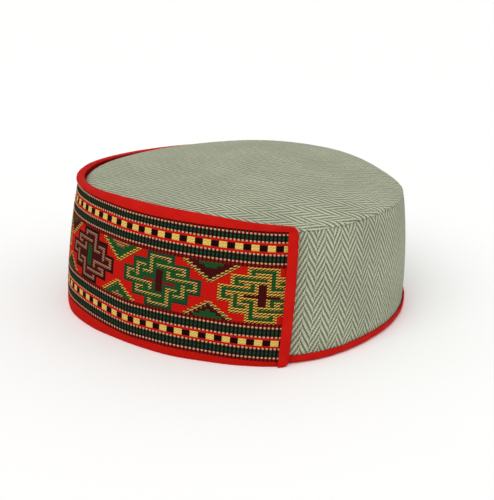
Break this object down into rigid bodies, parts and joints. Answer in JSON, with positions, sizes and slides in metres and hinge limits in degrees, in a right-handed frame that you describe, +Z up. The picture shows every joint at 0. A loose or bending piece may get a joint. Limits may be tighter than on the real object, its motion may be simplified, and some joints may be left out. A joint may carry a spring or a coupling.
{
  "type": "kullu cap",
  "caption": "Round flat-topped hill cap of herringbone tweed with a woven, patterned border turned up over its front half and red tape along its edges.",
  "frame": {"origin": "middle of the cap's box, on the floor that its rim stands on", "axes": "+Z up through the crown, -Y out of the front of the cap, +X towards the wearer's left"},
  "size_m": [0.1986, 0.1906, 0.0737],
  "materials": {
    "tweed": "wool tweed in a cream and grey-green herringbone",
    "border": "hand-woven wool border, red ground with green, black and yellow figures",
    "tape": "plain red cotton tape"
  },
  "bodies": {
    "root": {"crown_top": "tweed", "side_band": "tweed", "rim_binding": "tape", "front_flap": "border", "flap_binding": "tape"}
  },
  "joints": []
}
